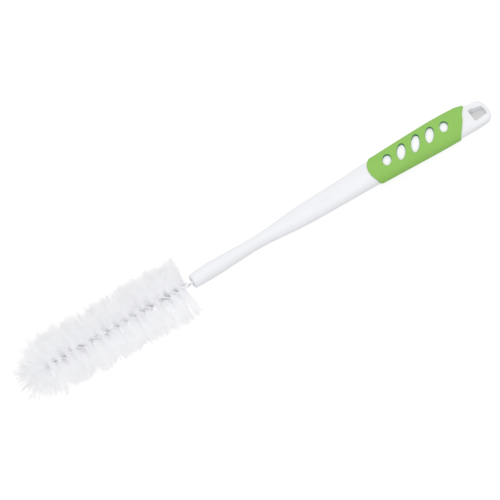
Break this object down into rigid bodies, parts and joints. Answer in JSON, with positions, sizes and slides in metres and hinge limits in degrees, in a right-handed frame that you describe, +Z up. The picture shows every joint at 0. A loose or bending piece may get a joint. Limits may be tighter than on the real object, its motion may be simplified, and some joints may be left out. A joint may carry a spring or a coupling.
{
  "type": "bottle brush",
  "caption": "Bottle brush with a round twisted-wire bristle head, a long moulded handle with a soft grip sleeve and a hole to hang it by.",
  "frame": {"origin": "on the floor, under the centre of the brush's bounding box, as it lies at rest on its side", "axes": "+X along the brush towards the hanging hole, +Y across the grip towards the side that the handle arches to, +Z up"},
  "size_m": [0.3985, 0.0434, 0.048],
  "materials": {
    "handle_plastic": "gloss",
    "grip_rubber": "matte",
    "wire_steel": "satin",
    "bristle_nylon": "satin"
  },
  "bodies": {
    "root": {"handle": "handle_plastic", "grip_sleeve": "grip_rubber", "twisted_wire": "wire_steel", "bristles": "bristle_nylon", "tip_tuft": "bristle_nylon"}
  },
  "joints": []
}
